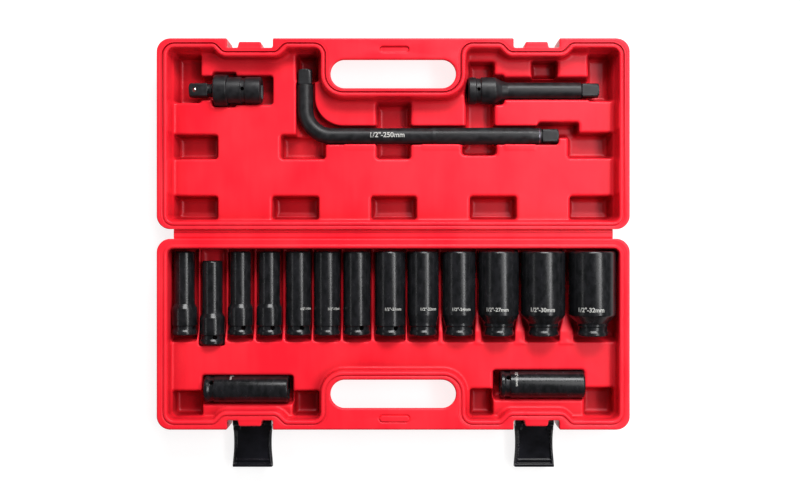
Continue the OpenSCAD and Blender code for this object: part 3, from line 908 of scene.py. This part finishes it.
def extension():
    low, high = node_box("extension_bar")
    middle = (low + high)/2
    length = high[0] - low[0]
    r, s, shaft_end = 12.8, 7.9, length - 16
    outside = soft_profile([
        [0, r - 1.4, 0], [1.2, r, 0.9], [7.3, r, 0.3], [8, r - 1, 0.5], [12, r - 1, 0.5], [12.7, r, 0.3],
        [26, r, 3], [32, s + 1.6, 4], [38, s, 4], [shaft_end - 1.5, s, 0.6], [shaft_end, s - 1.2, 0.4],
        [shaft_end, HALF_SQ, 0]])
    square = female_square()
    inside = [(SQUARE_DEPTH, np.full(SIDES, 0.01)), (SQUARE_DEPTH, square), (0.9, square), (0, square + 0.7)]
    rings = turned_rings([*inside, *outside, *square_end(shaft_end, length)])
    mesh = cut_hole(mesh_from("extension", *skin(rings)), 10, CROSS_HOLE_R)
    put(mesh, "extension_bar_piece", Matrix.Translation((low[0], middle[1], middle[2])))
    piece(mesh, STEEL_MATTE, "extension_bar", "black_steel", "extension_bar")


ARM_X, ARM_Y, BEND_R, BAR_D, GRIP_D = -84.5, 94, 25.7, 15.4, 16.2
GRIP_ALONG = (39, 131)


def bent_handle():
    """The handle swept along its arm, bend and long axis, with a knurled grip over it."""
    low, high = node_box("l_handle")
    height = (low[2] + high[2])/2
    r = BAR_D/2
    tip_y, end_x = high[1], high[0]
    bend = np.array([ARM_X + BEND_R, ARM_Y + BEND_R])
    arm_length = tip_y - bend[1]
    quarter = BEND_R*math.pi/2
    total = arm_length + quarter + end_x - bend[0]

    def frame_at(s):
        """Place and direction at s along the handle from the arm's tip."""
        if s < arm_length:
            return np.array([ARM_X, tip_y - s]), np.array([0, -1.0])
        if s < arm_length + quarter:
            a = (s - arm_length)/BEND_R
            return bend - BEND_R*np.array([math.cos(a), math.sin(a)]), np.array([math.sin(a), -math.cos(a)])
        return np.array([bend[0] + s - arm_length - quarter, ARM_Y]), np.array([1.0, 0])

    def end_rings(size):
        return [(size - x, radius) for x, radius in reversed(square_end(0, size))]

    bend_steps = [arm_length + quarter*k/20 for k in range(21)]
    grip_start = arm_length + quarter + GRIP_ALONG[0] - bend[0]
    grip_end = arm_length + quarter + GRIP_ALONG[1] - bend[0]
    body = [[14, HALF_SQ, 0], [14, r - 1, 0.3], [15, r, 0.6], [grip_start - 3, r, 0],
            [grip_start - 1.5, r + 0.3, 1], [grip_end + 1.5, r + 0.3, 1], [grip_end + 3, r, 0],
            [grip_end + 8, r, 0], [grip_end + 9.5, r - 0.35, 0.5], [total - 16.5, r - 0.35, 0.5],
            [total - 15, r - 1.3, 0.4], [total - 15, HALF_SQ, 0]]
    stations = end_rings(14) + soft_profile(body)
    stations += [(s, r) for s in bend_steps] + [(total - 15 + x, radius) for x, radius in square_end(0, 15)]
    order = sorted(range(len(stations)), key=lambda i: stations[i][0])
    angles = around()
    rings = []
    for i in order:
        s, radius = stations[i]
        spot, way = frame_at(s)
        side = np.array([-way[1], way[0]])
        radius = np.broadcast_to(radius, angles.shape)
        flat = spot + (radius*np.cos(angles))[:, None]*side
        rings.append(np.column_stack([flat, height + radius*np.sin(angles)]))
    mesh = smooth(mesh_of("bent_handle_piece", *skin(rings)))
    piece(mesh, STEEL_MATTE, "l_handle", "black_steel", "l_handle")
    at_bar = Matrix.Translation((0, ARM_Y, height))
    mark("handle_mark", '1/2"-250mm', 6.8, "l_handle", at_bar, r, -6, turn=-3, reads_along=True)
    grip(height)
    band(height)


def band(height):
    """The smooth, shiny band between the grip and the square end."""
    r, start = BAR_D/2, GRIP_ALONG[1]
    rings = [(start + 0.6, r - 0.3), (start + 1, r - 0.02), (start + 9, r - 0.02), (start + 9.4, r - 0.3)]
    points, faces = skin(turned_rings(rings))
    points += [0, ARM_Y, height]
    piece(smooth(mesh_of("bent_handle_band", points, faces)), STEEL_GLOSSY, "l_handle", "black_steel")


def grip(height):
    """Diamond knurling: peaks and valleys on alternate points of a lattice around the bar."""
    sides, pitch, depth = 80, 0.64, 0.38
    start, end = GRIP_ALONG
    rows = int((end - start)/pitch)
    rings = []
    for i in range(rows + 1):
        fade = min(1, i/3, (rows - i)/3)
        peaks = (np.arange(sides) + i) % 2
        radius = BAR_D/2 - 0.1 + (GRIP_D/2 - BAR_D/2 + 0.1)*fade - depth*peaks*fade
        rings.append((start + (end - start)*i/rows, radius))
    points, faces = skin(turned_rings(rings, sides))
    points += [0, ARM_Y, height]
    piece(mesh_of("bent_handle_grip", points, faces), STEEL_MATTE, "l_handle", "black_steel")


# ---- Universal joint ----

CUP_R = 10


def universal_joint():
    """The housing, the sleeve and the fork, around the middle of the block between the fork's arms."""
    low, high = node_box("joint_block")
    centre = (low + high)/2
    at_joint = Matrix.Translation(centre)
    low, high = node_box("joint_housing")
    mouth, right = low[0] - centre[0], high[0] - centre[0]
    r = (high[2] - low[2])/2
    outside = [[mouth, 10.4, 0], [mouth, r - 0.6, 0.4], [mouth + 0.8, r, 0.5], [right - 19.6, r, 0.4],
               [right - 19, r - 1, 0.5], [right - 15.5, r - 1, 0.5], [right - 14.9, r, 0.4],
               [right - 1.2, r, 0.8], [right, r - 1.3, 0]]
    cup = [(CUP_R*math.cos(a), CUP_R*math.sin(a)) for a in np.linspace(0.05, math.pi/2, 9)]
    square = female_square()
    inside = [(right, square + 0.7), (right - 0.9, square), (right - 18, square),
              (right - 18, np.full(SIDES, 0.4)), *cup]
    rings = turned_rings([*soft_profile(outside), *inside, (mouth, CUP_R)])
    mesh = cut_hole(mesh_from("housing", *skin(rings, closed=True)), right - 17.2, CROSS_HOLE_R)
    put(mesh, "joint_housing_piece", at_joint)
    piece(mesh, STEEL_MATTE, "joint_housing", "black_steel", "joint_housing")

    low, high = node_box("joint_sleeve")
    start, end, big = low[0] - centre[0], high[0] - centre[0], (high[2] - low[2])/2
    ring = [[start, r + 0.02, 0], [start, big - 0.8, 0.5], [start + 1.0, big, 0.8], [end - 1.0, big, 0.8],
            [end, big - 0.8, 0.5], [end, r + 0.02, 0]]
    mesh = mesh_from("sleeve", *skin(turned_rings(soft_profile(ring)), closed=True))
    put(mesh, "joint_sleeve_piece", at_joint)
    piece(mesh, STEEL_MATTE, "joint_housing", "black_steel", "joint_sleeve")
    joint_drive(centre)


def joint_drive(centre):
    """The fork, its neck and the male square, as one forging with rounded edges."""
    low, high = node_box("joint_drive")
    left = low[0] - centre[0]
    ball_x = node_box("detent_ball")[0][0] + 2.25 - centre[0]
    step = 0.3
    solid = Solid((left - 1, -10.5, -10.5), (8, 10.5, 10.5), step)
    x, y, z = solid.everywhere()
    fork = round_max(np.sqrt(x*x + y*y + z*z) - 9.4, np.abs(z) - 6.5, 0.6)
    fork = round_max(fork, x - 5, 0.6)
    neck = round_max(np.hypot(y, z) - 5.9, np.abs(x + 9) - 4, 0.3)
    square = round_max(np.abs(y) - HALF_SQ, np.abs(z) - HALF_SQ, 0.5)
    square = round_max(square, np.hypot(y, z) - 8.3, 0.3)
    tip = np.hypot(y, z) - 6.6 - (x - left)
    square = round_max(round_max(square, tip/1.41, 0.4), np.maximum(x + 11, left - x), 0.4)
    solid.value = round_min(round_min(fork, neck, 1.0), square, 0.5)
    slot = np.maximum(np.maximum(-6.7 - x, np.abs(y) - 4.65), x - 30)
    solid.value = round_max(solid.value, -slot, 0.5)
    solid.value = np.maximum(solid.value, -(np.hypot(x, z) - 2.02))
    solid.value = round_max(solid.value, -np.maximum(np.hypot(x - ball_x, y) - 2.33, -3 - z), 0.2)
    mesh = solid.mesh("joint_drive_piece", 60000, Matrix.Translation(centre))
    piece(mesh, STEEL_MATTE, "joint_drive", "black_steel", "joint_drive")


# ---- Hinge strip and latches ----

def hinge_strip():
    """The strip between the halves: thin films along both edges and shallow lines along its length."""
    low, high = node_box("hinge_strip")
    top, bottom, half = high[2], low[2], (high[1] - low[1])/2
    tip = BACK_FACE + 0.12
    edge = [(half - 1.6, top - 0.1), (half - 1, top - 0.7), (half - 0.5, top - 0.75), (tip, top - 0.9)]
    profile = [*((-y, z) for y, z in reversed(edge)), (-1.6, top), (0.9, top), (1.2, top - 0.25), (1.5, top),
               *edge, (tip, top - 1.3), (half - 0.6, bottom), (-half + 0.6, bottom), (-tip, top - 1.3)]
    ends = [(low[0], 0.55), (low[0] + 0.6, 0.95), (low[0] + 1.5, 1), (high[0] - 1.5, 1),
            (high[0] - 0.6, 0.95), (high[0], 0.55)]
    middle = (top + bottom)/2
    rings = [np.array([[x, y*(0.97 + 0.03*size), middle + (z - middle)*size] for y, z in profile])
             for x, size in ends]
    mesh = smooth(mesh_of("hinge_strip_piece", *skin(rings)), 25)
    piece(mesh, RED, "hinge_strip", "red_plastic", "hinge_strip")


# Inner and outer face of a latch's plate, from its pegs
PLATE_IN, PLATE_OUT = 1.3, 4.5


def latch_solid():
    """One latch as closed: X across, Y outwards and Z up from its pivot."""
    solid = Solid((-21, -5, -5), (21, 6, 45), 0.38)
    x, y, z = solid.everywhere()
    ax = np.abs(x)

    def block(x0, x1, y0, y1, z0, z1, edge):
        limits = (ax, x0, x1), (y, y0, y1), (z, z0, z1)
        sides = [np.abs(v - (low + high)/2) - (high - low)/2 for v, low, high in limits]
        return reduce(lambda a, b: round_max(a, b, edge), sides)

    plate = block(-30, 19.5, PLATE_IN, PLATE_OUT, 2.5, LATCH_LEN, 0.8)
    waist = 130 - np.hypot(ax - 148, z - 20)
    plate = round_max(plate, waist, 0.9)
    hook = block(-30, 19.0, PLATE_IN - 2.6, PLATE_OUT, LATCH_LEN - 3, LATCH_LEN, 0.7)
    hook = round_max(hook, waist, 0.7)
    lip_z = LATCH_LEN - LIP_BACK
    lip = block(-30, 18, PLATE_IN - 1.2, PLATE_IN + 1, lip_z - 0.9, lip_z + 0.9, 0.6)
    lip = round_max(lip, waist + 1.2, 0.5)
    rail = block(-30, 30, PLATE_IN - 1.7, PLATE_IN + 1, 8, LATCH_LEN - 1, 0.6)
    rail = round_max(rail, np.abs(waist + 2.1) - 0.9, 0.6)
    ear = np.maximum(np.hypot(y, z) - 3.8, np.abs(ax - 15.25) - 3.25)
    ear = round_min(ear, block(12, 18.5, 0, PLATE_OUT, 0, 8, 0.5), 0.8)
    peg = np.maximum(np.hypot(y, z) - 2, np.abs(ax - 10.6) - 1.8)
    parts = [plate, hook, lip, rail, ear, peg]
    solid.value = reduce(lambda a, b: round_min(a, b, 0.5), parts).astype(np.float32)
    return solid


def latches():
    solid = latch_solid()
    for name, x in (("latch_left", -LATCH_X), ("latch_right", LATCH_X)):
        matrix = (Matrix.Translation((x, -PEG_Y, PEG_Z)) @ Matrix.Rotation(LATCH_OPEN, 4, "X")
                  @ Matrix.Diagonal((1, -1, 1, 1)))
        mesh = solid.mesh(f"{name}_piece", 60000, matrix)
        piece(mesh, PLASTIC_BLACK, name, "black_plastic", name)


# ---- Stage ----

# Where the camera is, its height over the rim and the width that it sees there, in millimetres
CAMERA_X, CAMERA_Y, CAMERA_HEIGHT, VIEW_WIDTH = 6.4, -9.9, 900, 752
SENSOR = 36
# Name, place, width and height in metres, and power in watts
LIGHTS = [
    ("window", (0.35, 1.45, 1.25), 1.3, 0.6, 47),
    ("right_strip", (0.88, 0.1, 1.3), 1.3, 0.22, 13),
    ("right_panel", (0.52, 0.3, 1.4), 0.9, 0.5, 5),
    ("left_strip", (-1.25, 0, 0.95), 1.2, 0.03, 1.6),
]


def stage():
    """A plain pale floor, soft light and the camera straight above."""
    look = Look("floor", (0.93, 0.93, 0.93), 0.9, specular=0.1)
    look.set({"Base Color": look.colors(look.noise(60, 2), (0.24, 0.24, 0.24), (0.27, 0.27, 0.27))})
    look.set({"Emission Color": (1, 1, 1, 1), "Emission Strength": 0.84})
    bpy.ops.mesh.primitive_plane_add(size=12, location=(0, 0, -0.0004))
    floor = bpy.context.object
    floor.name = "floor"
    floor.data.materials.append(look.material)

    world = bpy.data.worlds.new("studio")
    world.use_nodes = True
    background = world.node_tree.nodes["Background"].inputs
    background["Color"].default_value = (1, 1, 1, 1)
    background["Strength"].default_value = 0.09
    bpy.context.scene.world = world
    for light in LIGHTS:
        area_light(*light)

    camera = add("camera", bpy.data.cameras.new("camera"))
    camera.location = place((CAMERA_X, CAMERA_Y, RIM + CAMERA_HEIGHT))
    camera.data.sensor_width = SENSOR
    camera.data.lens = SENSOR*CAMERA_HEIGHT/VIEW_WIDTH
    camera.data.clip_start = 0.02
    bpy.context.scene.camera = camera
    bpy.context.scene.view_settings.view_transform = "Standard"


def area_light(name, spot, width, height, power):
    """A rectangle of light that faces the middle of the floor."""
    light = bpy.data.lights.new(name, "AREA")
    light.shape = "RECTANGLE"
    light.size = width
    light.size_y = height
    light.energy = power
    obj = add(name, light)
    obj.location = spot
    obj.rotation_euler = (-obj.location).to_track_quat("-Z", "Y").to_euler()


def bare_nodes():
    """CAD nodes that keep their own shape and get a finished material."""
    names = "joint_block", "joint_long_pin", "joint_short_pins", "detent_spring"
    for name, material in {**dict.fromkeys(names, STEEL_PLAIN), "detent_ball": STEEL_BRIGHT}.items():
        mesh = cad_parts[name].data
        mesh.materials.clear()
        mesh.materials.append(material)


stage()
case_halves()
hinge_strip()
latches()
sockets()
extension()
bent_handle()
universal_joint()
bare_nodes()
